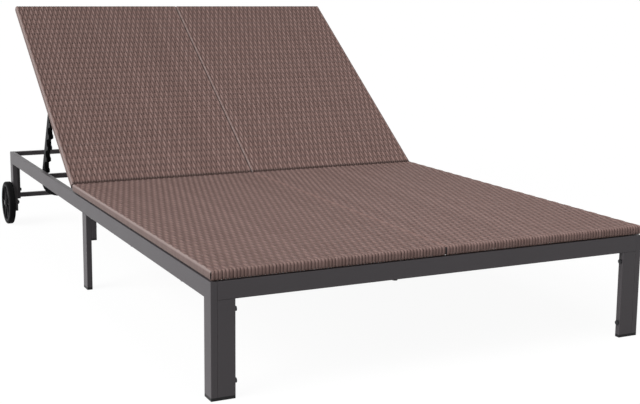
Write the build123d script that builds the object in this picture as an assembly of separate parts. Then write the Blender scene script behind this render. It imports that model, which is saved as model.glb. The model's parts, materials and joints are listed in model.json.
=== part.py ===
from build123d import *
import os
from math import atan2, cos, degrees, hypot, radians, sin, sqrt, tan

os.makedirs("parts", exist_ok=True)

# Two-person rattan sun lounger: powder-coated steel base, fixed woven seat,
# reclining woven backrest on barrel hinges, held by a swinging U-shaped bar
# whose saw-tooth racks hook over a cross bar, and two wheels at the head end.
# Axes: X across (left is negative, seen from the foot end), Y from foot to
# head, Z up. The origin is on the floor, at the middle of the whole outline.

# Whole lounger
frame_length = 2000.0
frame_width = 1130.0
frame_height = 255.0
recline_angle = 35.0

# Flat tube of the side frames and of the front and middle cross frames
rail_height = 40.0
rail_width = 15.0
rail_wall = 1.5
rail_corner = 1.2

# Square tube of the head-end frame, the panels and the rest bar
bar_size = 15.0
bar_wall = 1.2
bar_corner = 1.5

# Legs
leg_depth = 40.0
front_inner_leg_width = 40.0
mid_leg_setback = 157.0
mid_stub_length = 69.0
rear_leg_bottom = 52.0
rear_lower_bar_height = 91.0

# Plastic feet and tube caps
foot_height = 7.0
cap_height = 5.0
cap_lap = 0.4
plug_length = 14.0
plug_clearance = 0.2

# Bolts that join the cross frames to the side frames
bolt_radius = 3.0
bolt_head_radius = 5.5
bolt_head_height = 4.0
bolt_hole_clearance = 0.3
bolt_reach = 10.5
front_low_bolt_height = 37.0
front_high_bolt_drop = 23.0
mid_bolt_drop = 39.0
rear_bolt_rise = 27.0
weld_nut_radius = 4.8
weld_nut_length = 8.0
thread_clearance = 0.05

# Drain plug under the front rail
drain_plug_radius = 4.0
drain_plug_head_radius = 6.0
drain_plug_head_height = 2.5
drain_plug_stem = 6.0
drain_plug_place = -128.0

# Woven panels of the seat and the backrest
back_length = 862.0
panel_gap = 3.5
panel_groove = 3.0
weave_thickness = 2.2
weave_gap = 0.3
weave_round = 2.0
seat_slat_count = 3

# Seat screws, which rise through the side rails, and their spacers
seat_screw_radius = 2.5
seat_screw_head_radius = 5.0
seat_screw_head_height = 3.0
seat_screw_reach = 8.0
seat_screw_margin = 190.0
spacer_radius = 6.0

# Barrel hinges between seat and backrest
hinge_setback = 10.0
hinge_front_gap = 8.0
hinge_inset = 165.0
knuckle_radius = 6.0
knuckle_length = 20.0
knuckle_gap = 0.3
hinge_pin_radius = 3.0
hinge_pin_head_radius = 4.5
hinge_pin_head_height = 1.5
pin_fixed_clearance = 0.02
running_clearance = 0.05
leaf_length = 38.0
leaf_thickness = 2.5
leaf_screw_radius = 2.0
leaf_screw_head_radius = 3.6
leaf_screw_head_height = 2.0
leaf_screw_reach = 8.0
leaf_screw_spread = 19.0

# Swinging support: U-shaped bar, its clevises and pins
support_place = 417.0
support_drop = 9.8
arm_inset = 24.0
arm_width = 15.0
arm_depth = 14.0
arm_wall = 1.5
arm_length = 375.0
arm_bend_radius = 65.0
arm_plug_length = 24.0
clevis_thickness = 3.0
clevis_side_gap = 0.3
clevis_round = 9.0
clevis_length = 24.0
support_pin_radius = 4.0
support_pin_head_radius = 7.0
support_pin_head_height = 2.5

# Saw-tooth racks on the foot side of the arms
rack_thickness = 2.5
rack_pitch = 44.0
tooth_count = 5
tooth_reach = 30.0
tooth_rake = 15.0
tooth_tip_height = 10.0
notch_drop = 17.0
rack_tail = 8.0

# Rest bar, between plates screwed to the side rails
rest_bar_place = 445.0
rest_bar_drop = 19.0
rest_plate_thickness = 3.0
rest_plate_length = 50.0
rest_plate_height = 26.0
rest_screw_radius = 2.5
rest_screw_head_radius = 4.5
rest_screw_head_height = 2.5
rest_screw_reach = 6.0
rest_screw_margin = 9.0
notch_gap = 0.35

# Wheels and axle bolts
wheel_radius = 75.0
wheel_width = 21.4
wheel_setback = 20.0
wheel_play = 0.3
tyre_depth = 9.0
tyre_round = 5.0
rim_depth = 7.0
web_thickness = 7.0
hub_radius = 15.0
rib_count = 6
rib_width = 5.0
rib_recess = 3.0
axle_radius = 5.0
axle_head_radius = 9.0
axle_head_height = 3.5
axle_washer_radius = 11.0
axle_washer_thickness = 3.0
axle_nut_radius = 8.0
axle_nut_height = 6.0
axle_tip = 2.0

# Bumpers under the head end of the backrest
bumper_inset = 265.0
bumper_length = 30.0

# One overrun serves every cut
overrun = 2.0

# Places worked out from the sizes above
half_width = frame_width / 2
rail_inner = half_width - rail_width
rail_bottom = frame_height - rail_height
foot_y = -(frame_length - wheel_setback + wheel_radius) / 2
head_y = foot_y + frame_length
panel_skin = weave_thickness + weave_gap
panel_thickness = bar_size + 2 * panel_skin
panel_bottom = frame_height + panel_gap
panel_top = panel_bottom + panel_thickness
back_front_y = head_y - back_length
hinge_y = back_front_y - hinge_front_gap
hinge_z = panel_bottom - weave_gap - knuckle_radius
seat_rear_y = hinge_y - hinge_setback
mid_y = hinge_y - mid_leg_setback
wheel_y = head_y - wheel_setback

parts = {}


def block(x_span, y_span, z_span):
    """A box between the two ends given for each axis."""
    sizes = [span[1] - span[0] for span in (x_span, y_span, z_span)]
    middle = [(span[1] + span[0]) / 2 for span in (x_span, y_span, z_span)]
    return Pos(*middle) * Box(*sizes)


def sided(side, inner, outer):
    """A span along X on the left (-1) or right (1), given as distances from the middle."""
    return (inner, outer) if side > 0 else (-outer, -inner)


def inset(span, amount):
    return (span[0] + amount, span[1] - amount)


def tube(axis, spans, wall, corner):
    """A straight tube that fills the spans, with rounded long edges and open ends."""
    outer = fillet(block(*spans).edges().filter_by(axis), corner)
    run = (Axis.X, Axis.Y, Axis.Z).index(axis)
    bore = [inset(span, -overrun if place == run else wall) for place, span in enumerate(spans)]
    return outer - block(*bore)


def rod_x(x_span, y, z, radius):
    """A round rod along X."""
    length = x_span[1] - x_span[0]
    return Pos((x_span[0] + x_span[1]) / 2, y, z) * Rot(0, 90, 0) * Cylinder(radius, length)


def rod_z(x, y, z_span, radius):
    """A round rod along Z."""
    length = z_span[1] - z_span[0]
    return Pos(x, y, (z_span[0] + z_span[1]) / 2) * Cylinder(radius, length)


def plate_x(x_span, outline):
    """A plate of even thickness along X from an outline of (y, z) points."""
    face = make_face(Polyline([(x_span[0], y, z) for y, z in outline], close=True))
    return extrude(face, amount=x_span[1] - x_span[0], dir=(1, 0, 0))


def group(solids):
    """Like pieces that share a node, kept as separate solids."""
    return Compound(children=list(solids))


def name_of(side):
    return "left" if side < 0 else "right"


sides = (-1, 1)

# Side frames: each is a long rail with a foot-end and a head-end leg mitred to
# it and a middle leg butted under it, all in the same flat tube.
front_leg_span = (foot_y, foot_y + leg_depth)
mid_leg_span = (mid_y, mid_y + leg_depth)
rear_leg_span = (head_y - leg_depth, head_y)
rail_z = (rail_bottom, frame_height)


def mitre_wedge(y_outer, y_inner, z_outer, z_inner):
    """The half of a corner square on one side of its diagonal, run on past the tube."""
    step = overrun if y_inner > y_outer else -overrun
    rise = overrun if z_outer > z_inner else -overrun
    outline = [
        (y_outer - step, z_outer + rise),
        (y_outer - step, z_inner - rise),
        (y_inner + step, z_inner - rise),
    ]
    return plate_x((-half_width - overrun, half_width + overrun), outline)


foot_leg_corner = mitre_wedge(*front_leg_span, frame_height, rail_bottom)
foot_rail_corner = mitre_wedge(foot_y + leg_depth, foot_y, rail_bottom, frame_height)
head_leg_corner = mitre_wedge(head_y, head_y - leg_depth, frame_height, rail_bottom)
head_rail_corner = mitre_wedge(head_y - leg_depth, head_y, rail_bottom, frame_height)

for side in sides:
    rail_x = sided(side, rail_inner, half_width)
    rail = tube(Axis.Y, (rail_x, (foot_y, head_y), rail_z), rail_wall, rail_corner)
    parts["side_rail_" + name_of(side)] = rail - foot_leg_corner - head_leg_corner
    leg = tube(Axis.Z, (rail_x, front_leg_span, (foot_height, frame_height)), rail_wall, rail_corner)
    parts["front_leg_" + name_of(side)] = leg - foot_rail_corner
    leg = tube(Axis.Z, (rail_x, mid_leg_span, (foot_height, rail_bottom)), rail_wall, rail_corner)
    parts["mid_leg_" + name_of(side)] = leg
    leg = tube(Axis.Z, (rail_x, rear_leg_span, (rear_leg_bottom, frame_height)), rail_wall, rail_corner)
    parts["rear_leg_" + name_of(side)] = leg - head_rail_corner

# Foot-end cross frame: a rail between the side frames and a broad inner leg at
# each end, flush with the foot end.
front_y = (foot_y, foot_y + rail_width)
between_rails = (-rail_inner, rail_inner)
parts["front_rail"] = tube(Axis.X, (between_rails, front_y, rail_z), rail_wall, rail_corner)
front_inner = rail_inner - front_inner_leg_width
for side in sides:
    spans = (sided(side, front_inner, rail_inner), front_y, (foot_height, rail_bottom))
    parts["front_inner_leg_" + name_of(side)] = tube(Axis.Z, spans, rail_wall, rail_corner)

# Middle cross frame: a cross bar under the seat and a short stub beside each
# middle leg.
mid_bar_middle = mid_y + leg_depth / 2
mid_bar_y = (mid_bar_middle - rail_width / 2, mid_bar_middle + rail_width / 2)
parts["mid_crossbar"] = tube(Axis.X, (between_rails, mid_bar_y, rail_z), rail_wall, rail_corner)
stub_inner = rail_inner - rail_width
mid_stub_bottom = rail_bottom - mid_stub_length
for side in sides:
    spans = (sided(side, stub_inner, rail_inner), mid_leg_span, (mid_stub_bottom, rail_bottom))
    parts["mid_stub_" + name_of(side)] = tube(Axis.Z, spans, rail_wall, rail_corner)

# Head-end cross frame in square tube: top rail, two inner legs, lower bar.
rear_y = (head_y - bar_size, head_y)
rear_rail_z = (frame_height - bar_size, frame_height)
rear_inner = rail_inner - bar_size
parts["rear_rail"] = tube(Axis.X, (between_rails, rear_y, rear_rail_z), bar_wall, bar_corner)
for side in sides:
    spans = (sided(side, rear_inner, rail_inner), rear_y, (rear_lower_bar_height, rear_rail_z[0]))
    parts["rear_inner_leg_" + name_of(side)] = tube(Axis.Z, spans, bar_wall, bar_corner)
lower_bar_z = (rear_lower_bar_height, rear_lower_bar_height + bar_size)
spans = ((-rear_inner, rear_inner), rear_y, lower_bar_z)
parts["rear_lower_bar"] = tube(Axis.X, spans, bar_wall, bar_corner)


# Feet and caps: a black plastic plate under each tube end with a plug that
# grips inside the tube.
def end_cap(x_span, y_span, top, height, wall):
    """A cap under a tube end: plate, and a plug that stands clear of the wall."""
    plate = fillet(block(x_span, y_span, (top - height, top)).edges().filter_by(Axis.Z), rail_corner)
    plug_x = inset(x_span, wall + plug_clearance)
    plug_y = inset(y_span, wall + plug_clearance)
    return plate + block(plug_x, plug_y, (top - cap_lap, top + plug_length))


front_feet = []
mid_feet = []
rear_caps = []
small_caps = []
for side in sides:
    rail_x = sided(side, rail_inner, half_width)
    inner_x = sided(side, front_inner, rail_inner)
    stub_x = sided(side, stub_inner, rail_inner)
    rear_inner_x = sided(side, rear_inner, rail_inner)
    front_feet.append(end_cap(rail_x, front_leg_span, foot_height, foot_height, rail_wall))
    front_feet.append(end_cap(inner_x, front_y, foot_height, foot_height, rail_wall))
    mid_feet.append(end_cap(rail_x, mid_leg_span, foot_height, foot_height, rail_wall))
    rear_caps.append(end_cap(rail_x, rear_leg_span, rear_leg_bottom, cap_height, rail_wall))
    small_caps.append(end_cap(stub_x, mid_leg_span, mid_stub_bottom, cap_height, rail_wall))
    small_caps.append(end_cap(rear_inner_x, rear_y, rear_lower_bar_height, cap_height, bar_wall))
parts["front_feet"] = group(front_feet)
parts["mid_feet"] = group(mid_feet)
parts["rear_leg_caps"] = group(rear_caps)
parts["small_caps"] = group(small_caps)

# Bolts: each goes from the inner face of a cross frame into a nut welded inside
# the outer leg.
bolt_hole_radius = bolt_radius + bolt_hole_clearance
nut_seat = rail_inner + rail_wall
front_bolt_y = foot_y + rail_width / 2
rear_bolt_y = head_y - bar_size / 2
bolt_places = [
    (front_bolt_y, front_low_bolt_height, front_inner, "front"),
    (front_bolt_y, rail_bottom - front_high_bolt_drop, front_inner, "front"),
    (mid_bar_middle, rail_bottom - mid_bolt_drop, stub_inner, "mid"),
    (rear_bolt_y, rear_lower_bar_height + rear_bolt_rise, rear_inner, "rear"),
]
inner_names = {"front": "front_inner_leg_", "mid": "mid_stub_", "rear": "rear_inner_leg_"}
bolts = []
nuts = []
for side in sides:
    for y, z, face, frame in bolt_places:
        head = rod_x(sided(side, face - bolt_head_height, face), y, z, bolt_head_radius)
        shank_x = sided(side, face - bolt_head_height / 2, rail_inner + bolt_reach)
        shank = rod_x(shank_x, y, z, bolt_radius)
        bolts.append(head + shank)
        nut = rod_x(sided(side, nut_seat, nut_seat + weld_nut_length), y, z, weld_nut_radius)
        thread = sided(side, rail_inner, half_width)
        nuts.append(nut - rod_x(thread, y, z, bolt_radius + thread_clearance))
        hole = rod_x(sided(side, face - overrun, nut_seat + overrun), y, z, bolt_hole_radius)
        for name in (inner_names[frame] + name_of(side), frame + "_leg_" + name_of(side)):
            parts[name] = parts[name] - hole
parts["frame_bolts"] = group(bolts)
parts["weld_nuts"] = group(nuts)

# Drain plug, pushed into a hole in the underside of the front rail.
plug_y = foot_y + rail_width / 2
head_z = (rail_bottom - drain_plug_head_height, rail_bottom)
stem_z = (rail_bottom - drain_plug_head_height / 2, rail_bottom + drain_plug_stem)
plug = rod_z(drain_plug_place, plug_y, head_z, drain_plug_head_radius)
plug = plug + rod_z(drain_plug_place, plug_y, stem_z, drain_plug_radius)
parts["drain_plug"] = plug
hole_z = (rail_bottom - overrun, rail_bottom + rail_wall + overrun)
hole = rod_z(drain_plug_place, plug_y, hole_z, drain_plug_radius + thread_clearance)
parts["front_rail"] = parts["front_rail"] - hole


# Woven panels. Each is a frame of square tube: two side tubes, two end tubes,
# a pair of middle tubes and cross slats. Rattan is woven over it in a left and
# a right half, and each half wraps round the tubes at its edges.
def panel(prefix, y_span, slat_ys):
    """Make the tubes and the two woven halves of a panel that lies flat."""
    tube_z = inset((panel_bottom, panel_top), panel_skin)
    outer = half_width - panel_skin
    middle = panel_groove / 2 + panel_skin
    inner_y = inset(y_span, panel_skin + bar_size)
    ends = {
        prefix + "_foot_tube": (y_span[0] + panel_skin, inner_y[0]),
        prefix + "_head_tube": (inner_y[1], y_span[1] - panel_skin),
    }
    for name, end_y in ends.items():
        parts[name] = tube(Axis.X, ((-outer, outer), end_y, tube_z), bar_wall, bar_corner)
    for side in sides:
        side_x = sided(side, outer - bar_size, outer)
        middle_x = sided(side, middle, middle + bar_size)
        slat_x = sided(side, middle + bar_size, outer - bar_size)
        parts[prefix + "_side_tube_" + name_of(side)] = tube(
            Axis.Y, (side_x, inner_y, tube_z), bar_wall, bar_corner)
        parts[prefix + "_middle_tube_" + name_of(side)] = tube(
            Axis.Y, (middle_x, inner_y, tube_z), bar_wall, bar_corner)
        slat_spans = [(slat_x, (y - bar_size / 2, y + bar_size / 2), tube_z) for y in slat_ys]
        parts[prefix + "_slats_" + name_of(side)] = group(
            tube(Axis.X, spans, bar_wall, bar_corner) for spans in slat_spans)
        woven = block(sided(side, panel_groove / 2, half_width), y_span, (panel_bottom, panel_top))
        woven = fillet(woven.edges(), weave_round)
        inner_edges = (middle + bar_size + panel_skin, outer - bar_size - panel_skin)
        under_sheet = (panel_bottom - overrun, panel_top - weave_thickness)
        woven = woven - block(sided(side, *inner_edges), inset(inner_y, panel_skin), under_sheet)
        hollow_y = inset(y_span, weave_thickness)
        tube_hollows = [(sided(side, 0, outer), end_y, tube_z) for end_y in ends.values()]
        tube_hollows += [(side_x, hollow_y, tube_z), (middle_x, hollow_y, tube_z)] + slat_spans
        for spans in tube_hollows:
            woven = woven - block(*[inset(span, -weave_gap) for span in spans])
        parts[prefix + "_weave_" + name_of(side)] = woven


seat_slat_pitch = (seat_rear_y - foot_y) / (seat_slat_count + 1)
seat_slat_ys = [foot_y + seat_slat_pitch * (step + 1) for step in range(seat_slat_count)]
panel("seat", (foot_y, seat_rear_y), seat_slat_ys)
pivot_y = hinge_y + support_place
back_slat_ys = [(back_front_y + pivot_y) / 2, pivot_y, (pivot_y + head_y) / 2]
panel("back", (back_front_y, head_y), back_slat_ys)

# Seat screws and spacers: each screw rises through a side rail and a round
# spacer into the seat's side tube.
tube_floor = panel_bottom + panel_skin
screw_x = half_width - rail_width / 2
screw_ys = [
    foot_y + seat_screw_margin,
    (foot_y + seat_rear_y) / 2,
    seat_rear_y - seat_screw_margin,
]
screws = []
spacers = []
for side in sides:
    x = side * screw_x
    rail_name = "side_rail_" + name_of(side)
    tube_name = "seat_side_tube_" + name_of(side)
    weave_name = "seat_weave_" + name_of(side)
    for y in screw_ys:
        head = rod_z(x, y, (rail_bottom - seat_screw_head_height, rail_bottom), seat_screw_head_radius)
        shank_z = (rail_bottom - seat_screw_head_height / 2, tube_floor + seat_screw_reach)
        screws.append(head + rod_z(x, y, shank_z, seat_screw_radius))
        hole_radius = seat_screw_radius + thread_clearance
        hole = rod_z(x, y, (rail_bottom - overrun, tube_floor + bar_wall + overrun), hole_radius)
        spacer = rod_z(x, y, (frame_height, panel_bottom), spacer_radius)
        spacers.append(spacer - hole)
        for name in (rail_name, tube_name, weave_name):
            parts[name] = parts[name] - hole
parts["seat_screws"] = group(screws)
parts["seat_spacers"] = group(spacers)

# Barrel hinges: a fixed leaf under the seat's head tube with two outer
# knuckles, a moving leaf under the backrest's foot tube with the middle one.
leaf_top = panel_bottom - weave_gap
leaf_z = (leaf_top - leaf_thickness, leaf_top)
half_leaf = knuckle_length * 3 / 2 + knuckle_gap
seat_tube_y = seat_rear_y - panel_skin - bar_size / 2
back_tube_y = back_front_y + panel_skin + bar_size / 2
middle_knuckle = (-knuckle_length / 2, knuckle_length / 2)
outer_knuckles = [
    (-half_leaf, -knuckle_length / 2 - knuckle_gap),
    (knuckle_length / 2 + knuckle_gap, half_leaf),
]
clear_of_knuckle = knuckle_radius + knuckle_gap


def leaf(x, direction, knuckles, bore_radius):
    """A hinge leaf that lies flat, on the foot (-1) or head (1) side of the pin."""
    def along(near, far):
        return tuple(sorted((hinge_y + direction * near, hinge_y + direction * far)))

    body = block((x - half_leaf, x + half_leaf), along(clear_of_knuckle, leaf_length), leaf_z)
    for start, end in knuckles:
        x_span = (x + start, x + end)
        body = body + block(x_span, along(0, clear_of_knuckle), leaf_z)
        body = body + rod_x(x_span, hinge_y, hinge_z, knuckle_radius)
    bore = (x - half_leaf - overrun, x + half_leaf + overrun)
    return body - rod_x(bore, hinge_y, hinge_z, bore_radius)


def leaf_screw(x, y):
    """A pan-head screw that rises through a leaf into a panel tube."""
    head_z = (leaf_z[0] - leaf_screw_head_height, leaf_z[0])
    head = rod_z(x, y, head_z, leaf_screw_head_radius)
    shank_z = (leaf_z[0] - leaf_screw_head_height / 2, tube_floor + leaf_screw_reach)
    return head + rod_z(x, y, shank_z, leaf_screw_radius)


def drill_panel(names, hole):
    """Cut one hole through each named piece that it meets."""
    for name in names:
        parts[name] = parts[name] - hole


fixed_leaves = []
moving_leaves = []
hinge_pins = []
seat_leaf_screws = []
back_leaf_screws = []
seat_drilled = ["seat_weave_left", "seat_weave_right", "seat_head_tube"]
back_drilled = ["back_weave_left", "back_weave_right", "back_foot_tube"]
for x in (hinge_inset - half_width, 0, half_width - hinge_inset):
    fixed = leaf(x, -1, outer_knuckles, hinge_pin_radius + pin_fixed_clearance)
    moving = leaf(x, 1, [middle_knuckle], hinge_pin_radius + running_clearance)
    for offset in (-leaf_screw_spread, leaf_screw_spread):
        screw_place = x + offset
        hole_z = (leaf_z[0] - overrun, tube_floor + bar_wall + overrun)
        seat_hole = rod_z(screw_place, seat_tube_y, hole_z, leaf_screw_radius + thread_clearance)
        back_hole = rod_z(screw_place, back_tube_y, hole_z, leaf_screw_radius + thread_clearance)
        fixed = fixed - seat_hole
        moving = moving - back_hole
        drill_panel(seat_drilled, seat_hole)
        drill_panel(back_drilled, back_hole)
        seat_leaf_screws.append(leaf_screw(screw_place, seat_tube_y))
        back_leaf_screws.append(leaf_screw(screw_place, back_tube_y))
    fixed_leaves.append(fixed)
    moving_leaves.append(moving)
    pin = rod_x((x - half_leaf, x + half_leaf), hinge_y, hinge_z, hinge_pin_radius)
    for end, outward in ((x - half_leaf, -1), (x + half_leaf, 1)):
        head_x = tuple(sorted((end, end + outward * hinge_pin_head_height)))
        pin = pin + rod_x(head_x, hinge_y, hinge_z, hinge_pin_head_radius)
    hinge_pins.append(pin)
parts["hinge_fixed_leaves"] = group(fixed_leaves)
parts["hinge_moving_leaves"] = group(moving_leaves)
parts["hinge_pins"] = group(hinge_pins)
parts["hinge_seat_screws"] = group(seat_leaf_screws)
parts["hinge_back_screws"] = group(back_leaf_screws)

# Bumpers: plastic blocks under the backrest's head tube that meet the head-end
# rail when the backrest lies flat.
bumper_y = (rear_y[0], head_y - panel_skin)
bumper_z = (frame_height + weave_gap, panel_bottom - weave_gap)
bumpers = []
for side in sides:
    middle = side * (half_width - bumper_inset)
    x_span = (middle - bumper_length / 2, middle + bumper_length / 2)
    bumpers.append(block(x_span, bumper_y, bumper_z))
parts["back_bumpers"] = group(bumpers)

# Clevises: each is welded under a backrest slat and straddles an arm of the
# support. The pin is riveted in the clevis, and the arm turns on it.
pivot_z = panel_bottom - support_drop
arm_face = half_width - arm_inset
arm_inner = arm_face - arm_width
clevis_faces = (arm_inner - clevis_side_gap, arm_face + clevis_side_gap)
clevis_y = (pivot_y - clevis_length / 2, pivot_y + clevis_length / 2)
clevises = []
pins = []
for side in sides:
    outer_span = (clevis_faces[0] - clevis_thickness, clevis_faces[1] + clevis_thickness)
    clevis = block(sided(side, *outer_span), clevis_y, (tube_floor - clevis_thickness, tube_floor))
    for inner, outer in ((outer_span[0], clevis_faces[0]), (clevis_faces[1], outer_span[1])):
        cheek = block(sided(side, inner, outer), inset(clevis_y, clevis_length / 2 - clevis_round),
                      (pivot_z, tube_floor))
        clevis = clevis + cheek + rod_x(sided(side, inner, outer), pivot_y, pivot_z, clevis_round)
    bore = sided(side, outer_span[0] - overrun, outer_span[1] + overrun)
    clevises.append(clevis - rod_x(bore, pivot_y, pivot_z, support_pin_radius + pin_fixed_clearance))
    pin = rod_x(sided(side, *outer_span), pivot_y, pivot_z, support_pin_radius)
    head = (outer_span[0] - support_pin_head_height, outer_span[0])
    tail = (outer_span[1], outer_span[1] + support_pin_head_height)
    for span in (head, tail):
        pin = pin + rod_x(sided(side, *span), pivot_y, pivot_z, support_pin_head_radius)
    pins.append(pin)
parts["support_clevises"] = group(clevises)
parts["support_pins"] = group(pins)

# The backrest and all that rides on it was made lying flat. It is turned up
# about the hinge axis to its highest notch.
raise_back = Pos(0, hinge_y, hinge_z) * Rot(recline_angle, 0, 0) * Pos(0, -hinge_y, -hinge_z)
back_names = [name for name in parts if name.startswith("back_")]
back_names += ["hinge_moving_leaves", "hinge_back_screws", "support_clevises", "support_pins"]
for name in back_names:
    parts[name] = raise_back * parts[name]

# Where the raised pivot stands, and the lean of the arms: the web of each rack
# just clears the head-side edge of the rest bar at its top notch.
recline = radians(recline_angle)
drop = pivot_z - hinge_z
raised_y = hinge_y + support_place * cos(recline) - drop * sin(recline)
raised_z = hinge_z + support_place * sin(recline) + drop * cos(recline)
rest_bar_top = frame_height - rest_bar_drop
rest_bar_y = (hinge_y + rest_bar_place, hinge_y + rest_bar_place + bar_size)
rest_bar_z = (rest_bar_top - bar_size, rest_bar_top)
notch_y = rest_bar_y[1] + notch_gap
notch_z = rest_bar_top + notch_gap
web_face = arm_depth / 2 + rack_thickness
notch_distance = hypot(notch_y - raised_y, notch_z - raised_z)
notch_along = sqrt(notch_distance ** 2 - web_face ** 2)
arm_lean = atan2(raised_z - notch_z, notch_y - raised_y) - atan2(web_face, notch_along)
arm_down = Vector(0, cos(arm_lean), -sin(arm_lean))
arm_back = Vector(0, sin(arm_lean), cos(arm_lean))
arm_plane = Plane(origin=(0, raised_y, raised_z), x_dir=(1, 0, 0), z_dir=arm_back)


# Support bar: one rectangular tube bent into a U, with a plugged and rounded
# end at each pivot.
def u_shape(grow, depth, top):
    """The U in its own plane, shrunk by grow on every side and as deep as given."""
    radius = arm_bend_radius - grow
    width = 2 * (arm_face - grow)
    height = arm_length - grow + overrun + radius
    outer = RectangleRounded(width, height, radius)
    outer = Pos(0, arm_length - grow - height / 2) * outer
    inner_width = 2 * (arm_inner + grow)
    inner_height = height + overrun
    inner_radius = arm_bend_radius - arm_width + grow
    inner = RectangleRounded(inner_width, inner_height, inner_radius)
    inner = Pos(0, arm_length - arm_width + grow - inner_height / 2) * inner
    band = extrude(outer - inner, amount=depth / 2, both=True)
    room = arm_length + arm_bend_radius
    keep = block((-room - arm_face, room + arm_face), (top, top + room), (-depth, depth))
    return band & keep


u_bar = u_shape(0, arm_depth, 0) - u_shape(arm_wall, arm_depth - 2 * arm_wall, arm_plug_length)
for side in sides:
    end_x = sided(side, arm_inner, arm_face)
    u_bar = u_bar + rod_x(end_x, 0, 0, arm_depth / 2)
    bore = sided(side, arm_inner - overrun, arm_face + overrun)
    u_bar = u_bar - rod_x(bore, 0, 0, support_pin_radius + running_clearance)
parts["support_bar"] = arm_plane * u_bar

# Racks: a folded channel on the foot side of each arm, with a web along the
# arm and saw teeth cut in both flanges. The lowest notch holds the rest bar.
tooth_rise = tooth_reach * tan(radians(tooth_rake))
notches = []
for step in reversed(range(tooth_count)):
    shift = arm_down * (rack_pitch * step)
    notches.append((notch_y - shift.Y, notch_z - shift.Z))
arm_front = Vector(0, raised_y, raised_z) - arm_back * (arm_depth / 2)


def on_arm(along, proud):
    """The (y, z) point at a distance from the pivot, proud of the arm's foot face."""
    point = arm_front + arm_down * along - arm_back * proud
    return (point.Y, point.Z)


rack_top = notch_along - rack_pitch * tooth_count
rack_end = notch_along + notch_drop + rack_tail
above = on_arm(rack_top, rack_thickness)
outline = [on_arm(rack_end, 0), on_arm(rack_top, 0), above]
for y, z in notches:
    outline.append((above[0], above[1] - notch_drop))
    outline.append((y - tooth_reach, z + tooth_rise + tooth_tip_height))
    outline.append((y - tooth_reach, z + tooth_rise))
    outline.append((y, z))
    above = (y, z)
outline.append((above[0], above[1] - notch_drop))
web_strip = outline[:3] + [on_arm(rack_end, rack_thickness)]
for side in sides:
    arm_x = sided(side, arm_inner, arm_face)
    near = sided(side, arm_inner, arm_inner + rack_thickness)
    far = sided(side, arm_face - rack_thickness, arm_face)
    rack = plate_x(arm_x, web_strip) + plate_x(near, outline) + plate_x(far, outline)
    parts["rack_" + name_of(side)] = rack

# Rest bar: a square tube welded between two plates that are screwed to the
# inner faces of the side rails.
plate_inner = rail_inner - rest_plate_thickness
spans = ((-plate_inner, plate_inner), rest_bar_y, rest_bar_z)
rest_bar = tube(Axis.X, spans, bar_wall, bar_corner)
bar_middle_y = (rest_bar_y[0] + rest_bar_y[1]) / 2
bar_middle_z = (rest_bar_z[0] + rest_bar_z[1]) / 2
plate_y = (bar_middle_y - rest_plate_length / 2, bar_middle_y + rest_plate_length / 2)
plate_z = (bar_middle_z - rest_plate_height / 2, bar_middle_z + rest_plate_height / 2)
rest_screws = []
for side in sides:
    plate = block(sided(side, plate_inner, rail_inner), plate_y, plate_z)
    for y in inset(plate_y, rest_screw_margin):
        head_x = sided(side, plate_inner - rest_screw_head_height, plate_inner)
        head = rod_x(head_x, y, bar_middle_z, rest_screw_head_radius)
        shank_x = sided(side, plate_inner - rest_screw_head_height / 2, rail_inner + rest_screw_reach)
        shank = rod_x(shank_x, y, bar_middle_z, rest_screw_radius)
        rest_screws.append(head + shank)
        hole_x = sided(side, plate_inner - overrun, nut_seat + overrun)
        hole = rod_x(hole_x, y, bar_middle_z, rest_screw_radius + thread_clearance)
        plate = plate - hole
        rail_name = "side_rail_" + name_of(side)
        parts[rail_name] = parts[rail_name] - hole
    rest_bar = rest_bar + plate
parts["rest_bar"] = rest_bar
parts["rest_bar_screws"] = group(rest_screws)

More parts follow.
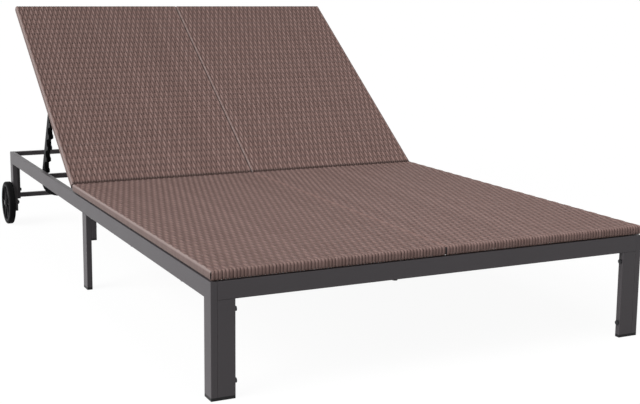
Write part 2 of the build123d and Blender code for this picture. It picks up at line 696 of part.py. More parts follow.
# Wheels: a moulded hub, web and rim with a soft tyre, running on a bolt through
# the head-end leg, with a washer inside and a nut behind the leg.
wheel_inner = half_width + axle_washer_thickness + wheel_play
wheel_outer = wheel_inner + wheel_width
wheel_middle = (wheel_inner + wheel_outer) / 2
rim_radius = wheel_radius - tyre_depth
rim_hollow = rim_radius - rim_depth
wheel_z = wheel_radius
axle_bolts = []
axle_nuts = []
axle_washers = []
for side in sides:
    full = sided(side, wheel_inner, wheel_outer)
    web = sided(side, wheel_middle - web_thickness / 2, wheel_middle + web_thickness / 2)
    tyre = rod_x(full, wheel_y, wheel_z, wheel_radius)
    tyre = fillet(tyre.edges(), tyre_round) - rod_x(full, wheel_y, wheel_z, rim_radius)
    rim = rod_x(full, wheel_y, wheel_z, rim_radius) - rod_x(full, wheel_y, wheel_z, rim_hollow)
    rim = rim + rod_x(web, wheel_y, wheel_z, rim_hollow + rim_depth / 2)
    rim = rim + rod_x(full, wheel_y, wheel_z, hub_radius)
    rib_x = inset(full, rib_recess)
    rib_y = (wheel_y + hub_radius / 2, wheel_y + rim_hollow + rim_depth / 2)
    rib = block(rib_x, rib_y, (wheel_z - rib_width / 2, wheel_z + rib_width / 2))
    for step in range(rib_count):
        turn = Pos(0, wheel_y, wheel_z) * Rot(360 * step / rib_count, 0, 0) * Pos(0, -wheel_y, -wheel_z)
        rim = rim + turn * rib
    bore = inset(full, -overrun)
    rim = rim - rod_x(bore, wheel_y, wheel_z, axle_radius + running_clearance)
    parts["wheel_rim_" + name_of(side)] = rim
    parts["wheel_tyre_" + name_of(side)] = tyre
    head_face = wheel_outer + wheel_play
    head_x = sided(side, head_face, head_face + axle_head_height)
    head = rod_x(head_x, wheel_y, wheel_z, axle_head_radius)
    rim_side = Axis.X if side > 0 else -Axis.X
    head = fillet(head.faces().sort_by(rim_side)[-1].edges(), axle_head_height / 2)
    nut_face = rail_inner - axle_nut_height
    shank_x = sided(side, nut_face - axle_tip, head_face + axle_head_height / 2)
    axle_bolts.append(head + rod_x(shank_x, wheel_y, wheel_z, axle_radius))
    hole_x = sided(side, nut_face - overrun - axle_tip, wheel_inner)
    hole = rod_x(hole_x, wheel_y, wheel_z, axle_radius + thread_clearance)
    washer_x = sided(side, half_width, half_width + axle_washer_thickness)
    axle_washers.append(rod_x(washer_x, wheel_y, wheel_z, axle_washer_radius) - hole)
    nut_x = sided(side, nut_face, rail_inner)
    nut_blank = extrude(RegularPolygon(axle_nut_radius, 6), amount=axle_nut_height / 2, both=True)
    nut_place = Pos((nut_x[0] + nut_x[1]) / 2, wheel_y, wheel_z) * Rot(0, 90, 0)
    axle_nuts.append(nut_place * nut_blank - hole)
    leg_name = "rear_leg_" + name_of(side)
    parts[leg_name] = parts[leg_name] - hole
parts["axle_bolts"] = group(axle_bolts)
parts["axle_washers"] = group(axle_washers)
parts["axle_nuts"] = group(axle_nuts)

# Like pieces that share a node, and pieces that are welded into one.
shared_nodes = {
    "feet": ["front_feet", "mid_feet"],
    "tube_end_caps": ["rear_leg_caps", "small_caps"],
    "mid_stubs": ["mid_stub_left", "mid_stub_right"],
    "rear_inner_legs": ["rear_inner_leg_left", "rear_inner_leg_right"],
    "seat_middle_tubes": ["seat_middle_tube_left", "seat_middle_tube_right"],
    "seat_slats": ["seat_slats_left", "seat_slats_right"],
    "back_middle_tubes": ["back_middle_tube_left", "back_middle_tube_right"],
    "back_slats": ["back_slats_left", "back_slats_right"],
}
for node, members in shared_nodes.items():
    parts[node] = group(solid for member in members for solid in parts.pop(member).solids())

for name, shape in parts.items():
    export_step(shape, "parts/" + name + ".step")

print("nodes", len(parts))
print("hinge axis y, z", round(hinge_y, 3), round(hinge_z, 3))
print("support pivot y, z", round(raised_y, 3), round(raised_z, 3))
print("arm lean in degrees", round(degrees(arm_lean), 4))
print("support turn per backrest turn", round(-(degrees(arm_lean) + recline_angle) / recline_angle, 5))
print("wheel axis y, z", round(wheel_y, 3), round(wheel_z, 3))
print("notches", [(round(y, 1), round(z, 1)) for y, z in notches])
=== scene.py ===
import json
import math
import bpy
import numpy as np
from mathutils import Matrix, Vector


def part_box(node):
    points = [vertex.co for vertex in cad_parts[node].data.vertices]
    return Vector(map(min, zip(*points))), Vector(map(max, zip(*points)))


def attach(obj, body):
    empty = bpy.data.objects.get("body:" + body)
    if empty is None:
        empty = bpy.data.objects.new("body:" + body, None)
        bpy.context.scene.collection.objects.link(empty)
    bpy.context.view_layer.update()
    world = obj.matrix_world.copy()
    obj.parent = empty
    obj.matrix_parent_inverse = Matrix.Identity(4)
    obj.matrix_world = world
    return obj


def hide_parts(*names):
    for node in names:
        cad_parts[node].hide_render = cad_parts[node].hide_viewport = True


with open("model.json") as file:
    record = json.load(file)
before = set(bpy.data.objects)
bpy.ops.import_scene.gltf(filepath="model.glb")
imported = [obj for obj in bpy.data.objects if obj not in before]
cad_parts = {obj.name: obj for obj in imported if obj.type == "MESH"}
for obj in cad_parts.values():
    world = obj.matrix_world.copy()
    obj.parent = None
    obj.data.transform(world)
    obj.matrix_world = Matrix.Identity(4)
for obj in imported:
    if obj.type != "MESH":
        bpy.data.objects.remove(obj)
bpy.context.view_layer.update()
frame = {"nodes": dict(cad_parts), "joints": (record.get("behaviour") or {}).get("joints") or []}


# Studio. A plain pale floor runs past the edge of the picture, under an even
# sky, one broad soft sun from the left and a weak soft lamp over the foot end.
# The camera stands before the left corner of the foot end, at a seated height.
camera_place = Vector((-1.3859, -3.1960, 0.8628))
camera_yaw = math.radians(26.200)
camera_pitch = math.radians(9.183)
camera_roll = math.radians(0.571)
lens_shift = -0.05
focal_pixels = 1165.4
picture_width = 640
sensor_width = 36.0
nearest_seen = 0.05
farthest_seen = 200.0
white = (1, 1, 1, 1)
sky_level = 0.20
sun_level = 2.62
sun_spread = math.radians(50)
sun_towards = Vector((0.84, 0.11, -0.50))
lamp_place = (0.0, -1.15, 1.90)
lamp_size = 1.2
lamp_watts = 11.0
floor_reach = 40.0
floor_tone = 0.42
floor_glow = 0.94
faint_tone = 0.10


def camera_frame(place, yaw, pitch, roll):
    """The camera's axes: forward is turned by yaw from +Y towards +X and tipped
    down by pitch, right is level, and both cross axes are then rolled."""
    ahead = Vector((math.sin(yaw), math.cos(yaw), 0.0))
    forward = ahead * math.cos(pitch) - Vector((0.0, 0.0, math.sin(pitch)))
    level = Vector((math.cos(yaw), -math.sin(yaw), 0.0))
    upright = level.cross(forward)
    right = level * math.cos(roll) + upright * math.sin(roll)
    up = upright * math.cos(roll) - level * math.sin(roll)
    columns = Matrix((right, up, -forward)).transposed().to_4x4()
    return Matrix.Translation(place) @ columns


camera = bpy.data.objects.new("camera", bpy.data.cameras.new("camera"))
bpy.context.scene.collection.objects.link(camera)
camera.matrix_world = camera_frame(camera_place, camera_yaw, camera_pitch, camera_roll)
camera.data.sensor_width = sensor_width
camera.data.lens = focal_pixels * sensor_width / picture_width
camera.data.shift_y = lens_shift
camera.data.clip_start = nearest_seen
camera.data.clip_end = farthest_seen
bpy.context.scene.camera = camera
bpy.context.scene.view_settings.view_transform = "Standard"

sun = bpy.data.objects.new("sun", bpy.data.lights.new("sun", "SUN"))
bpy.context.scene.collection.objects.link(sun)
sun.rotation_mode = "QUATERNION"
sun.rotation_quaternion = sun_towards.to_track_quat("-Z", "Y")
sun.data.energy = sun_level
sun.data.angle = sun_spread

lamp = bpy.data.objects.new("lamp", bpy.data.lights.new("lamp", "AREA"))
bpy.context.scene.collection.objects.link(lamp)
lamp.location = lamp_place
lamp.data.size = lamp_size
lamp.data.energy = lamp_watts


def shown_rays(tree, path):
    """1 for rays that see the studio's white, straight, in a gloss or through
    glass, else 0: the largest of the three ray flags."""
    straight_or_gloss = tree.nodes.new("ShaderNodeMath")
    straight_or_gloss.operation = "MAXIMUM"
    either_or_glass = tree.nodes.new("ShaderNodeMath")
    either_or_glass.operation = "MAXIMUM"
    tree.links.new(path.outputs["Is Camera Ray"], straight_or_gloss.inputs[0])
    tree.links.new(path.outputs["Is Glossy Ray"], straight_or_gloss.inputs[1])
    tree.links.new(straight_or_gloss.outputs["Value"], either_or_glass.inputs[0])
    tree.links.new(path.outputs["Is Transmission Ray"], either_or_glass.inputs[1])
    return either_or_glass.outputs["Value"]


sky = bpy.data.worlds.new("sky")
bpy.context.scene.world = sky
sky.use_nodes = True
sky_nodes = sky.node_tree.nodes
sky_links = sky.node_tree.links
sky_nodes.clear()
sky_output = sky_nodes.new("ShaderNodeOutputWorld")
lit = sky_nodes.new("ShaderNodeBackground")
lit.inputs["Color"].default_value = white
lit.inputs["Strength"].default_value = sky_level
seen = sky_nodes.new("ShaderNodeBackground")
seen.inputs["Color"].default_value = white
sky_mix = sky_nodes.new("ShaderNodeMixShader")
sky_path = sky_nodes.new("ShaderNodeLightPath")
sky_links.new(shown_rays(sky.node_tree, sky_path), sky_mix.inputs["Fac"])
sky_links.new(lit.outputs["Background"], sky_mix.inputs[1])
sky_links.new(seen.outputs["Background"], sky_mix.inputs[2])
sky_links.new(sky_mix.outputs["Shader"], sky_output.inputs["Surface"])

floor_mesh = bpy.data.meshes.new("floor")
corners = [(-floor_reach, -floor_reach, 0), (floor_reach, -floor_reach, 0)]
corners += [(floor_reach, floor_reach, 0), (-floor_reach, floor_reach, 0)]
floor_mesh.from_pydata(corners, [], [(0, 1, 2, 3)])
floor = bpy.data.objects.new("floor", floor_mesh)
bpy.context.scene.collection.objects.link(floor)
floor_finish = bpy.data.materials.new("floor_finish")
floor_finish.use_nodes = True
floor_nodes = floor_finish.node_tree.nodes
floor_links = floor_finish.node_tree.links
floor_nodes.clear()
floor_output = floor_nodes.new("ShaderNodeOutputMaterial")
floor_diffuse = floor_nodes.new("ShaderNodeBsdfDiffuse")
floor_diffuse.inputs["Color"].default_value = (floor_tone, floor_tone, floor_tone, 1)
floor_faint = floor_nodes.new("ShaderNodeBsdfDiffuse")
floor_faint.inputs["Color"].default_value = (faint_tone, faint_tone, faint_tone, 1)
floor_light = floor_nodes.new("ShaderNodeEmission")
floor_light.inputs["Strength"].default_value = floor_glow
floor_sum = floor_nodes.new("ShaderNodeAddShader")
floor_mix = floor_nodes.new("ShaderNodeMixShader")
floor_path = floor_nodes.new("ShaderNodeLightPath")
floor_links.new(floor_faint.outputs["BSDF"], floor_sum.inputs[0])
floor_links.new(floor_light.outputs["Emission"], floor_sum.inputs[1])
floor_links.new(shown_rays(floor_finish.node_tree, floor_path), floor_mix.inputs["Fac"])
floor_links.new(floor_diffuse.outputs["BSDF"], floor_mix.inputs[1])
floor_links.new(floor_sum.outputs["Shader"], floor_mix.inputs[2])
floor_links.new(floor_mix.outputs["Shader"], floor_output.inputs["Surface"])
floor_mesh.materials.append(floor_finish)


# Base frame. Flat and square steel tube, cut, mitred and welded, then sprayed
# with dark grey powder and baked, which leaves a satin skin with a fine
# orange-peel grain. The rest bar and the drilled plates get the same coat.
grain_depth = 0.0002
grain_detail = 2.0
cloud_detail = 4.0


def grain_group():
    """Shader group with a fine grain and a slow cloudy mask, each a noise of the
    place on the object, at its own scale."""
    group = bpy.data.node_groups.new("surface_grain", "ShaderNodeTree")
    for socket in ("Grain Scale", "Cloud Scale"):
        group.interface.new_socket(name=socket, in_out="INPUT", socket_type="NodeSocketFloat")
    for socket in ("Grain", "Cloud"):
        group.interface.new_socket(name=socket, in_out="OUTPUT", socket_type="NodeSocketFloat")
    into = group.nodes.new("NodeGroupInput")
    out = group.nodes.new("NodeGroupOutput")
    place = group.nodes.new("ShaderNodeTexCoord")
    for result, detail in (("Grain", grain_detail), ("Cloud", cloud_detail)):
        noise = group.nodes.new("ShaderNodeTexNoise")
        noise.inputs["Detail"].default_value = detail
        group.links.new(place.outputs["Object"], noise.inputs["Vector"])
        group.links.new(into.outputs[result + " Scale"], noise.inputs["Scale"])
        group.links.new(noise.outputs["Fac"], out.inputs[result])
    return group


surface_grain = grain_group()


def finish_material(name, colour, shade, roughness, spread, grain, cloud, bump,
                    metallic=0.0, shine=0.2):
    """A material whose colour and roughness drift with the cloud mask and whose
    normal follows the grain. Its colour runs from colour times shade up to
    colour, its roughness from roughness less spread to roughness plus spread."""
    material = bpy.data.materials.new(name)
    material.use_nodes = True
    tree = material.node_tree
    shader = tree.nodes["Principled BSDF"]
    shader.inputs["Metallic"].default_value = metallic
    shader.inputs["Specular IOR Level"].default_value = shine
    texture = tree.nodes.new("ShaderNodeGroup")
    texture.node_tree = surface_grain
    texture.inputs["Grain Scale"].default_value = grain
    texture.inputs["Cloud Scale"].default_value = cloud
    tint = tree.nodes.new("ShaderNodeMix")
    tint.data_type = "RGBA"
    tint.inputs["A"].default_value = (*[part * shade for part in colour], 1)
    tint.inputs["B"].default_value = (*colour, 1)
    gloss = tree.nodes.new("ShaderNodeMapRange")
    gloss.inputs["To Min"].default_value = roughness - spread
    gloss.inputs["To Max"].default_value = roughness + spread
    relief = tree.nodes.new("ShaderNodeBump")
    relief.inputs["Strength"].default_value = bump
    relief.inputs["Distance"].default_value = grain_depth
    tree.links.new(texture.outputs["Cloud"], tint.inputs["Factor"])
    tree.links.new(texture.outputs["Cloud"], gloss.inputs["Value"])
    tree.links.new(texture.outputs["Grain"], relief.inputs["Height"])
    tree.links.new(tint.outputs["Result"], shader.inputs["Base Color"])
    tree.links.new(gloss.outputs["Result"], shader.inputs["Roughness"])
    tree.links.new(relief.outputs["Normal"], shader.inputs["Normal"])
    return material


def dress(names, material):
    """Give the CAD nodes of these names one finish."""
    for name in names:
        for slot in frame["nodes"][name].material_slots:
            slot.material = material


powder_coat = finish_material(
    "powder_coat", colour=(0.100, 0.091, 0.0975), shade=0.86, roughness=0.42, spread=0.05,
    grain=1100.0, cloud=9.0, bump=0.35)
painted_tubes = ["front_rail", "mid_crossbar", "mid_stubs", "rest_bar"]
painted_tubes += ["rear_inner_legs", "rear_lower_bar", "rear_rail"]
for panel in ("seat_", "back_"):
    painted_tubes += [panel + part for part in ("foot_tube", "head_tube", "middle_tubes", "slats")]
for side in ("left", "right"):
    painted_tubes += [leg + side for leg in ("front_leg_", "front_inner_leg_")]
    painted_tubes += [leg + side for leg in ("mid_leg_", "rear_leg_")]
    painted_tubes += [tube + side for tube in ("side_rail_", "seat_side_tube_", "back_side_tube_")]
dress(painted_tubes, powder_coat)


# Feet, tube caps, drain plug, spacers and bumpers. Small black mouldings that
# are pushed into tube ends or held by a screw, with a fine matt spark texture.
moulded_black = finish_material(
    "moulded_black", colour=(0.017, 0.017, 0.018), shade=0.8, roughness=0.52, spread=0.06,
    grain=1600.0, cloud=14.0, bump=0.3)
dress(["feet", "tube_end_caps", "drain_plug", "seat_spacers", "back_bumpers"], moulded_black)


# Fasteners and hinges. Turned and pressed steel: screws, pins and hinge leaves
# are zinc-plated and dulled to a dark grey, and the bolts of the frame and the
# wheels are blackened, with the wheels' nuts and washers.
dull_zinc = finish_material(
    "dull_zinc", colour=(0.30, 0.30, 0.31), shade=0.7, roughness=0.38, spread=0.08,
    grain=700.0, cloud=60.0, bump=0.2, metallic=0.9)
zinc_nodes = ["weld_nuts", "seat_screws", "rest_bar_screws", "support_pins"]
zinc_nodes += ["hinge_fixed_leaves", "hinge_moving_leaves", "hinge_pins"]
zinc_nodes += ["hinge_seat_screws", "hinge_back_screws"]
dress(zinc_nodes, dull_zinc)
black_oxide = finish_material(
    "black_oxide", colour=(0.045, 0.045, 0.048), shade=0.7, roughness=0.42, spread=0.08,
    grain=700.0, cloud=60.0, bump=0.2, metallic=0.6)
dress(["frame_bolts", "axle_bolts", "axle_nuts", "axle_washers"], black_oxide)


# Support, racks and clevises. Bent rectangular tube with folded and cut sheet
# racks, all sprayed black after welding and worn to a low sheen.
support_black = finish_material(
    "support_black", colour=(0.010, 0.010, 0.011), shade=0.85, roughness=0.50, spread=0.05,
    grain=1100.0, cloud=10.0, bump=0.3, shine=0.06)
dress(["support_bar", "rack_left", "rack_right", "support_clevises"], support_black)


# Wheels. Moulded black plastic rim with a pressed-on softer tyre, which turn
# on a bolt through the rear leg.
wheel_plastic = finish_material(
    "wheel_plastic", colour=(0.024, 0.023, 0.025), shade=0.8, roughness=0.55, spread=0.05,
    grain=900.0, cloud=20.0, bump=0.2, shine=0.04)
tyre_rubber = finish_material(
    "tyre_rubber", colour=(0.015, 0.0145, 0.0155), shade=0.7, roughness=0.75, spread=0.08,
    grain=1400.0, cloud=30.0, bump=0.5, shine=0.03)
dress(["wheel_rim_left", "wheel_rim_right"], wheel_plastic)
dress(["wheel_tyre_left", "wheel_tyre_right"], tyre_rubber)


# Woven panels. Flat strands of taupe-brown synthetic rattan are woven by hand
# on each half of a panel: single strands, the warp, run lengthwise over and
# under groups of three cross strands, the weft, and all wrap round the tubes.
warp_pitch = 0.0081
group_pitch = 0.02635
group_count = 3
warp_width_share = 0.88
wrap_width_share = 0.95
weft_width_share = 1.045

# The strands' six-sided section, its top crowned between two shoulders, and how
# far they rise over the mid-plane of the weave or dip under it.
warp_shoulder_share = 0.25
weft_shoulder_share = 0.42
shoulder_height_share = 0.75
strand_base = 0.0005
warp_crown = 0.0013
weft_crown = 0.0005
warp_lift = 0.0009
weft_lift = 0.00030

# The panel that they wrap, with the mid-plane of the weave just inside its skin,
# and the margins, bends and laps at its edges. A wrap has nine rings, from the
# underside up to the top, where a lengthwise strand is flatter at first.
panel_height = 0.020
skin_inset = 0.00115
underside_drop = 0.0012
weft_margin = 0.0026
edge_margin = 0.0022
seam_reach = 0.0014
warp_radius = 0.0055
weft_radius = 0.0045
wrap_lap = 0.017
arc_steps = np.radians([0.0, 30.0, 60.0, 90.0])
wrap_crown = np.array([0.7, 0.7, 0.7, 0.7, 0.7, 0.75, 1.0, 1.0, 1.0])

# Where the lengthwise strands have rings within a group of cross strands, and
# how high they lie there, as shares of warp_lift, on top of it or beneath.
ring_shares = np.array([0.06, 0.34, 0.66, 0.94])
over_lift = np.array([0.95, 1.0, 1.0, 0.95])
under_lift = np.array([0.55, -1.0, -1.0, 0.55])

# The hand's unevenness: standard deviations of height and place in metres, and
# of the width as a share. The seed starts each panel's row of random numbers.
warp_height_slip = 0.00005
warp_side_slip = 0.00012
warp_width_slip = 0.02
weft_height_slip = 0.00004
weft_side_slip = 0.0001
weft_width_slip = 0.015
seed = 20260

# Painted light and shade, as factors on the strands' colour: strands sunk
# between others, bends, panel ends and the seam's left side get painted shade,
# the seat is darkened and the backrest lightened as a whole. Along the sides the
# wraps' rings get painted shade below and a pale painted highlight and sheen
# towards the top, and the backrest's seam a share of it on its right half.
sunk_shade = 0.38
bend_shade = 0.72
deep_shade = 0.785
foot_shade = 0.35
head_shade = 0.45
seam_shade = 0.5
seat_painted_shade = 0.94
back_painted_light = 1.10
side_shade = np.array([0.62, 0.62, 0.62, 0.62, 0.62, 0.62, 1.0, 1.0, 1.0])
side_highlight = np.array([0.3, 0.3, 0.3, 0.3, 0.3, 0.3, 0.75, 0.8, 0.2])
back_seam_highlight = 0.8


def wrap_path(start, end, low, high, radius, stops):
    """Mid-line of a strand round a panel, in the plane across two of its edges.
    It runs in along the underside, round the edge at start, over the top through
    the stops, and round the edge at end: straights joined by quarter circles,
    point = centre + radius * (cos a, sin a). Returns points and outward normals."""
    def quarter(centre, first, turn):
        angles = first + turn * arc_steps
        normals = np.stack([np.cos(angles), np.sin(angles)], axis=1)
        return np.array(centre) + radius * normals, normals

    downwards, upwards = np.array([[0.0, -1.0]]), np.array([[0.0, 1.0]])
    pieces = [(np.array([[start + wrap_lap, low]]), downwards)]
    pieces.append(quarter((start + radius, low + radius), -math.pi / 2, -1))
    pieces.append(quarter((start + radius, high - radius), math.pi, -1))
    flat = np.stack([stops, np.full(len(stops), high)], axis=1)
    pieces.append((flat, np.repeat(upwards, len(stops), axis=0)))
    pieces.append(quarter((end - radius, high - radius), math.pi / 2, -1))
    pieces.append(quarter((end - radius, low + radius), 0.0, -1))
    pieces.append((np.array([[end - wrap_lap, low]]), downwards))
    points = np.concatenate([piece[0] for piece in pieces])
    normals = np.concatenate([piece[1] for piece in pieces])
    return points, normals


def at_ends(values, count, first, last=None):
    """A copy of values with its first count columns set to first, and its last
    count columns to last, or to first in the opposite order if none is given."""
    values = values.copy()
    values[..., :count] = first
    values[..., -count:] = np.flip(first) if last is None else last
    return values


def strand_mesh(name, centres, normals, across, width, crown, shoulder, tones, painted_shading, painted_highlights):
    """Closed six-sided strands as one mesh. A ring stands at each centre: its
    corners are centre + across * width * u + normal * v, for the (u, v) of a flat
    strand with a crowned top. centres is (strands, rings, 3), normals (rings, 3),
    width and the last two arguments (strands, rings), crown (rings), tones (strands).
    The last three go on the points as attributes: tones, then painted light and
    shade, then painted highlights and sheen. Each strand's UV map runs round it in u
    and along it in metres in v."""
    share = np.array([-0.5, -shoulder, 0.0, shoulder, 0.5, 0.0])
    shoulders = shoulder_height_share
    rise = crown[:, None] * np.array([0.0, shoulders, 1.0, shoulders, 0.0, 0.0])
    rise[:, -1] = -strand_base
    strands, rings = centres.shape[:2]
    corners = len(share)
    flat = centres[:, :, None, :] + across * (share[None, None, :, None] * width[:, :, None, None])
    points = flat + normals[None, :, None, :] * rise[None, :, :, None]

    index = np.arange(strands * rings * corners).reshape(strands, rings, corners)
    following = np.roll(index, -1, axis=2)
    quads = [index[:, :-1], index[:, 1:], following[:, 1:], following[:, :-1]]
    quads = np.stack(quads, axis=-1).reshape(-1, 4)
    caps = np.concatenate([index[:, 0, :], index[:, -1, ::-1]])
    loops = np.concatenate([quads.ravel(), caps.ravel()])
    starts = [np.arange(len(quads)) * 4, len(quads) * 4 + np.arange(len(caps)) * corners]
    starts = np.concatenate(starts)

    steps = np.linalg.norm(np.diff(centres, axis=1), axis=2)
    along = np.concatenate([np.zeros((strands, 1)), np.cumsum(steps, axis=1)], axis=1)
    around = np.arange(corners + 1) / corners
    v0, v1, u0, u1 = np.broadcast_arrays(
        along[:, :-1, None], along[:, 1:, None], around[None, None, :-1], around[None, None, 1:])
    uv = np.stack([u0, v0, u0, v1, u1, v1, u1, v0], axis=-1)
    uv = np.concatenate([uv.ravel(), np.zeros(caps.size * 2)])

    mesh = bpy.data.meshes.new(name)
    mesh.vertices.add(index.size)
    mesh.vertices.foreach_set("co", points.astype(np.float32).ravel())
    mesh.loops.add(len(loops))
    mesh.loops.foreach_set("vertex_index", loops.astype(np.int32))
    mesh.polygons.add(len(starts))
    mesh.polygons.foreach_set("loop_start", starts.astype(np.int32))
    mesh.polygons.foreach_set("use_smooth", np.ones(len(starts), bool))
    mesh.update(calc_edges=True)
    mesh.uv_layers.new(name="strand").data.foreach_set("uv", uv.astype(np.float32))
    tones = np.broadcast_to(tones[:, None], (strands, rings))
    # The shade attribute carries painted light and shade, and the one after it painted highlights
    # and sheen.
    for mark, values in (("tone", tones), ("shade", painted_shading), ("painted_highlight", painted_highlights)):
        layer = mesh.attributes.new(mark, "FLOAT", "POINT")
        values = np.repeat(values, corners, axis=1).astype(np.float32)
        layer.data.foreach_set("value", values.ravel())
    piece = bpy.data.objects.new(name, mesh)
    bpy.context.scene.collection.objects.link(piece)
    return piece


def woven_half(name, x_span, y_span, bottom, turn, foot, seam_highlight, painted_light, finishes, body):
    """The lengthwise and cross strands of one half panel. Strand i and group k
    cross with i + k even where the lengthwise strand is on top. Its height over
    the mid-plane is warp_lift times over_lift there and times under_lift
    elsewhere, and the cross strand's is weft_lift the other way, but the first of
    each group stays low. foot is the painted shade factor of the foot end; the
    argument after it is the share of the sides' painted highlight that goes along
    the seam, and the next the painted light and shade factor of the whole half.
    The half on the side of minus x ends at the seam, with painted shade there, and
    the other begins there. finishes are the materials of its lengthwise and its
    cross strands."""
    random = np.random.default_rng(seed + len(name) + int(1000 * abs(x_span[0])))
    low, high = bottom + skin_inset - underside_drop, bottom + panel_height - skin_inset
    warp_room = x_span[1] - x_span[0] - 2 * edge_margin
    warp_count = round(warp_room / warp_pitch)
    pitch = warp_room / warp_count
    warp_x = x_span[0] + edge_margin + (np.arange(warp_count) + 0.5) * pitch
    first_y = y_span[0] + weft_margin
    weft_room = y_span[1] - y_span[0] - 2 * weft_margin
    groups = round(weft_room / group_pitch)
    group = weft_room / groups
    weft_pitch = group / group_count
    sign = 1 - 2 * ((np.arange(warp_count)[:, None] + np.arange(groups)[None, :]) % 2)

    start, end = y_span[0] + skin_inset, y_span[1] - skin_inset
    stops = first_y + weft_pitch / 2 + (np.arange(groups)[:, None] + ring_shares) * group
    stops = stops.ravel()
    inner = (stops > start + warp_radius) & (stops < end - warp_radius)
    path, out = wrap_path(start, end, low, high, warp_radius, stops[inner])
    lift = np.where(sign[:, :, None] > 0, over_lift, under_lift).reshape(warp_count, -1)[:, inner]
    # Painted shade: rings where a lengthwise strand bends down or lies under the cross strands are
    # darkened.
    sunk = np.where(lift > over_lift[0], 1.0, np.where(lift > 0, bend_shade, sunk_shade))
    ends = (len(path) - lift.shape[1]) // 2
    lift = np.pad(lift, ((0, 0), (ends, ends)), constant_values=1.0) * warp_lift
    lift[:, [0, -1]] = 0.0
    lift = lift + random.normal(0, warp_height_slip, lift.shape)
    # Painted shade on the bends at the head end, and at the foot end by foot.
    painted_shading = at_ends(np.pad(sunk, ((0, 0), (ends, ends))), ends, foot, head_shade)
    wander = random.normal(0, warp_side_slip, (warp_count, 1))
    centres = np.empty((warp_count, len(path), 3))
    centres[:, :, 0] = warp_x[:, None] + wander
    centres[:, :, 1:] = path + lift[:, :, None] * out
    normals = np.concatenate([np.zeros((len(out), 1)), out], axis=1)
    width = np.full(lift.shape, pitch * warp_width_share)
    width = at_ends(width, ends, pitch * wrap_width_share)
    width = width * random.normal(1, warp_width_slip, (warp_count, 1))
    crown = at_ends(np.full(len(path), warp_crown), ends, warp_crown * wrap_crown)
    warp = strand_mesh(
        name + "_lengthwise", centres, normals, np.array([1.0, 0.0, 0.0]), width, crown,
        warp_shoulder_share, random.random(warp_count), painted_shading * painted_light, np.zeros(painted_shading.shape))

    start, end = x_span[0] + skin_inset, x_span[1] - skin_inset
    inner = (warp_x > start + weft_radius) & (warp_x < end - weft_radius)
    path, out = wrap_path(start, end, low, high, weft_radius, warp_x[inner])
    weft_y = first_y + (np.arange(groups * group_count) + 0.5) * weft_pitch
    row_sign = -np.repeat(sign.T, group_count, axis=0)
    row_sign[::group_count] = -1
    ends = (len(path) - inner.sum()) // 2
    lift = row_sign[:, inner] * weft_lift
    lift = np.pad(lift, ((0, 0), (ends, ends)), constant_values=warp_lift)
    # Painted shade on the cross strands lying between the floats and on the side faces of their
    # wraps.
    painted_shading = at_ends(np.full(lift.shape, deep_shade), ends, side_shade)
    # Painted highlight and sheen towards the tops of the side wraps.
    painted_highlights = at_ends(np.zeros(lift.shape), ends, side_highlight)
    # At the seam the left half gets painted shade and no painted highlight, the right half a share
    # of the sides' painted highlight.
    if x_span[0] < -abs(x_span[1]):
        painted_highlights[:, -ends:] = 0.0
        painted_shading[:, -ends:] = seam_shade
    else:
        painted_highlights[:, :ends] *= seam_highlight
    lift = lift + random.normal(0, weft_height_slip, lift.shape)
    centres = np.empty((len(weft_y), len(path), 3))
    centres[:, :, 0] = path[:, 0] + lift * out[:, 0]
    centres[:, :, 1] = weft_y[:, None] + random.normal(0, weft_side_slip, (len(weft_y), 1))
    centres[:, :, 2] = path[:, 1] + lift * out[:, 1]
    normals = np.stack([out[:, 0], np.zeros(len(out)), out[:, 1]], axis=1)
    width = np.full(lift.shape, weft_pitch * weft_width_share)
    width = width * random.normal(1, weft_width_slip, (len(weft_y), 1))
    weft = strand_mesh(
        name + "_crosswise", centres, normals, np.array([0.0, -1.0, 0.0]), width,
        np.full(len(path), weft_crown), weft_shoulder_share, random.random(len(weft_y)),
        painted_shading * painted_light, painted_highlights)

    for piece, finish in zip((warp, weft), finishes):
        piece.data.transform(turn)
        piece.data.materials.append(finish)
        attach(piece, body)
        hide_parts(name)


strand_shine = 0.12
least_rough = 0.50
most_rough = 0.70
streak_pull = (9.0, 14.0, 1.0)
streak_detail = 3.0
streak_share = 0.5
tone_share = 0.55
tone_shift = (37.0, 91.0, 53.0)
ridge_count = 6.0
ridge_waver = 0.4
ridge_strength = 0.25
ridge_depth = 0.0002
# Pale colour of the painted highlights and sheen on the wraps' bends.
highlight_colour = (0.37, 0.305, 0.29)


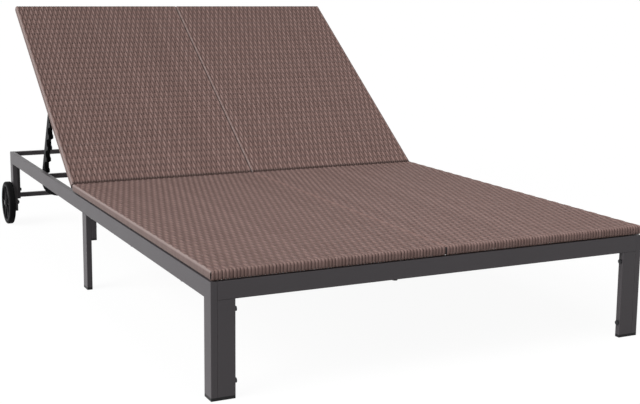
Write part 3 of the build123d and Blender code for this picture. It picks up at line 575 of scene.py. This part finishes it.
def rattan_material(name, dark, light):
    """Strand plastic. The tone of each strand and long streaks along it mix two
    browns, times a factor of painted light and shade, then mixed towards a pale
    colour for painted highlights and sheen. Fine ridges run the strand's length,
    and the streaks vary its roughness."""
    material = bpy.data.materials.new(name)
    material.use_nodes = True
    tree = material.node_tree
    shader = tree.nodes["Principled BSDF"]
    shader.inputs["Specular IOR Level"].default_value = strand_shine
    uv = tree.nodes.new("ShaderNodeUVMap")
    uv.uv_map = "strand"
    stretch = tree.nodes.new("ShaderNodeMapping")
    stretch.inputs["Scale"].default_value = streak_pull
    streak = tree.nodes.new("ShaderNodeTexNoise")
    streak.inputs["Scale"].default_value = 1.0
    streak.inputs["Detail"].default_value = streak_detail
    tone, shade, painted_highlight = [tree.nodes.new("ShaderNodeAttribute") for mark in range(3)]
    tone.attribute_name = "tone"
    shade.attribute_name = "shade"
    painted_highlight.attribute_name = "painted_highlight"
    shift = tree.nodes.new("ShaderNodeVectorMath")
    shift.operation = "SCALE"
    shift.inputs[0].default_value = tone_shift
    moved = tree.nodes.new("ShaderNodeVectorMath")
    moved.operation = "ADD"
    blend = tree.nodes.new("ShaderNodeMath")
    blend.operation = "MULTIPLY_ADD"
    blend.inputs[1].default_value = tone_share
    part_streak = tree.nodes.new("ShaderNodeMath")
    part_streak.operation = "MULTIPLY"
    part_streak.inputs[1].default_value = streak_share
    tint = tree.nodes.new("ShaderNodeMix")
    tint.data_type = "RGBA"
    tint.inputs["A"].default_value = (*dark, 1)
    tint.inputs["B"].default_value = (*light, 1)
    shaded = tree.nodes.new("ShaderNodeVectorMath")
    shaded.operation = "SCALE"
    highlight_mix = tree.nodes.new("ShaderNodeMix")
    highlight_mix.data_type = "RGBA"
    highlight_mix.inputs["B"].default_value = (*highlight_colour, 1)
    ridges = tree.nodes.new("ShaderNodeTexWave")
    ridges.wave_type = "BANDS"
    ridges.bands_direction = "X"
    ridges.inputs["Scale"].default_value = ridge_count
    ridges.inputs["Distortion"].default_value = ridge_waver
    relief = tree.nodes.new("ShaderNodeBump")
    relief.inputs["Strength"].default_value = ridge_strength
    relief.inputs["Distance"].default_value = ridge_depth
    gloss = tree.nodes.new("ShaderNodeMapRange")
    gloss.inputs["To Min"].default_value = least_rough
    gloss.inputs["To Max"].default_value = most_rough
    links = tree.links
    links.new(uv.outputs["UV"], stretch.inputs["Vector"])
    links.new(tone.outputs["Fac"], shift.inputs["Scale"])
    links.new(stretch.outputs["Vector"], moved.inputs[0])
    links.new(shift.outputs["Vector"], moved.inputs[1])
    links.new(moved.outputs["Vector"], streak.inputs["Vector"])
    links.new(streak.outputs["Fac"], part_streak.inputs[0])
    links.new(tone.outputs["Fac"], blend.inputs[0])
    links.new(part_streak.outputs["Value"], blend.inputs[2])
    links.new(blend.outputs["Value"], tint.inputs["Factor"])
    links.new(tint.outputs["Result"], shaded.inputs[0])
    links.new(shade.outputs["Fac"], shaded.inputs["Scale"])
    links.new(shaded.outputs["Vector"], highlight_mix.inputs["A"])
    links.new(painted_highlight.outputs["Fac"], highlight_mix.inputs["Factor"])
    links.new(highlight_mix.outputs["Result"], shader.inputs["Base Color"])
    links.new(streak.outputs["Fac"], gloss.inputs["Value"])
    links.new(gloss.outputs["Result"], shader.inputs["Roughness"])
    links.new(uv.outputs["UV"], ridges.inputs["Vector"])
    links.new(ridges.outputs["Fac"], relief.inputs["Height"])
    links.new(relief.outputs["Normal"], shader.inputs["Normal"])
    return material


# The cross strands' browns are a darker, redder copy of the lengthwise ones: painted shade for the
# cells where they lie below the floats.
rattan = (
    rattan_material("rattan_lengthwise", dark=(0.214, 0.137, 0.122), light=(0.321, 0.214, 0.194)),
    rattan_material("rattan_crosswise", dark=(0.202, 0.122, 0.106), light=(0.290, 0.183, 0.162)),
)
hinge = Vector(frame["joints"][0]["pos_m"])
recline = math.radians(35)
panel_bottom = 0.2585
back_length = 0.862
hinge_gap = 0.008
level = Matrix.Identity(4)
raised = Matrix.Translation(hinge) @ Matrix.Rotation(recline, 4, "X") @ Matrix.Translation(-hinge)
# Each half is scaled as a whole: painted shade on the seat, painted light on the backrest, with
# painted shade at the backrest's foot.
for side in ("left", "right"):
    low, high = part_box("seat_weave_" + side)
    half_x = (low.x, high.x + seam_reach) if side == "left" else (low.x - seam_reach, high.x)
    woven_half("seat_weave_" + side, half_x, (low.y, high.y), panel_bottom, level,
               foot=1.0, seam_highlight=0.0, painted_light=seat_painted_shade, finishes=rattan, body="base")
    back_y = (hinge.y + hinge_gap, hinge.y + hinge_gap + back_length)
    woven_half("back_weave_" + side, half_x, back_y, panel_bottom, raised,
               foot=foot_shade, seam_highlight=back_seam_highlight, painted_light=back_painted_light, finishes=rattan,
               body="backrest")
